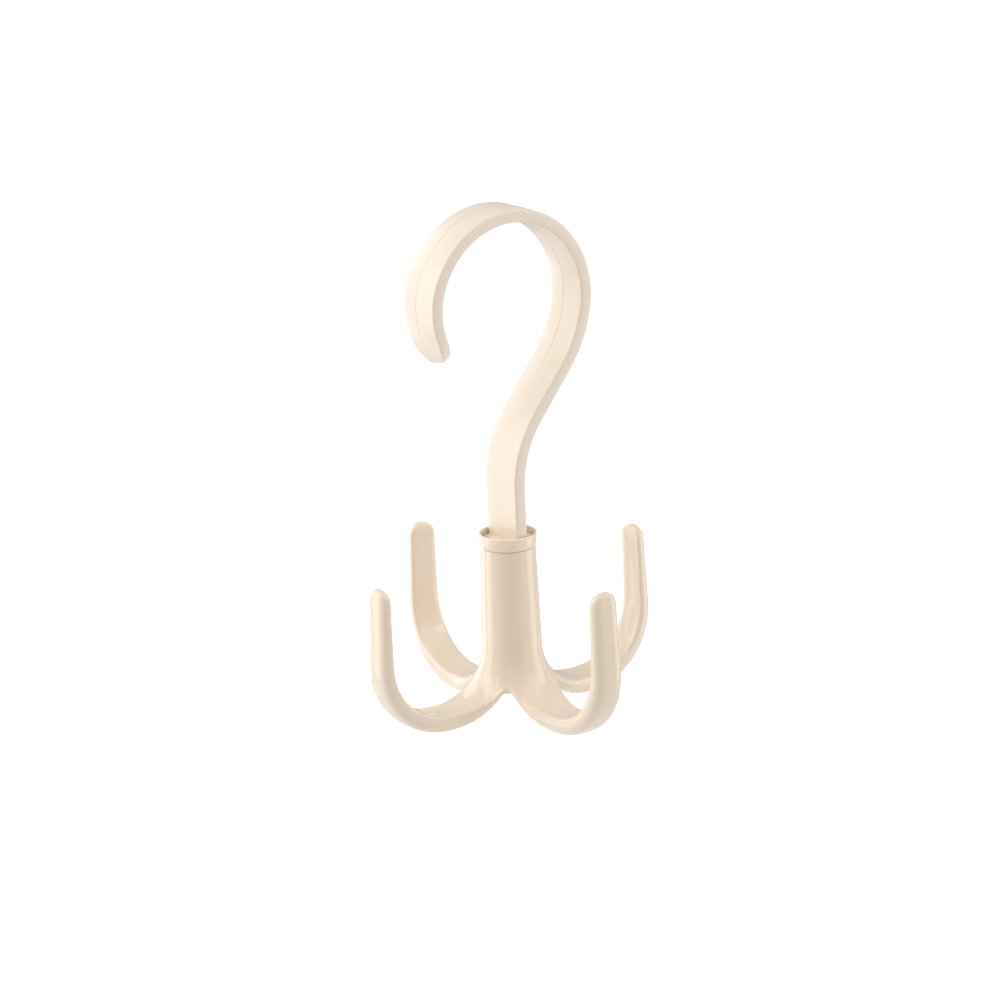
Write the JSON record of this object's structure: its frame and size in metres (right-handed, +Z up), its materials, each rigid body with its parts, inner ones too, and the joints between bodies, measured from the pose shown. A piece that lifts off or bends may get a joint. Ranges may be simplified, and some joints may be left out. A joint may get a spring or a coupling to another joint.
{
  "type": "rotating closet hook",
  "caption": "Strap hook for a closet rod with a hanger of four upturned claws that swivels freely underneath it.",
  "frame": {"origin": "crown of the upper hook's inner arc, where a rod bears, on the swivel axis", "axes": "+Z up along the swivel axis; the strap bends in the XZ plane with its mouth towards -X; claws along +X, -X, +Y and -Y"},
  "size_m": [0.11, 0.11, 0.1721],
  "materials": {
    "hook_plastic": "glossy moulded cream plastic",
    "collar_plastic": "glossy moulded cream plastic",
    "claw_plastic": "glossy moulded cream plastic",
    "plated_steel": "bright zinc plated steel"
  },
  "bodies": {
    "hook": {"upper_hook": "hook_plastic", "swivel_washer": "plated_steel", "retaining_screw": "plated_steel"},
    "claws": {"collar_cap": "collar_plastic", "claw_body": "claw_plastic"}
  },
  "joints": [
    {"name": "swivel", "type": "hinge", "parent": "hook", "child": "claws", "pos_m": [0, 0, -0.10539], "axis": [0, 0, 1], "continuous": true}
  ]
}
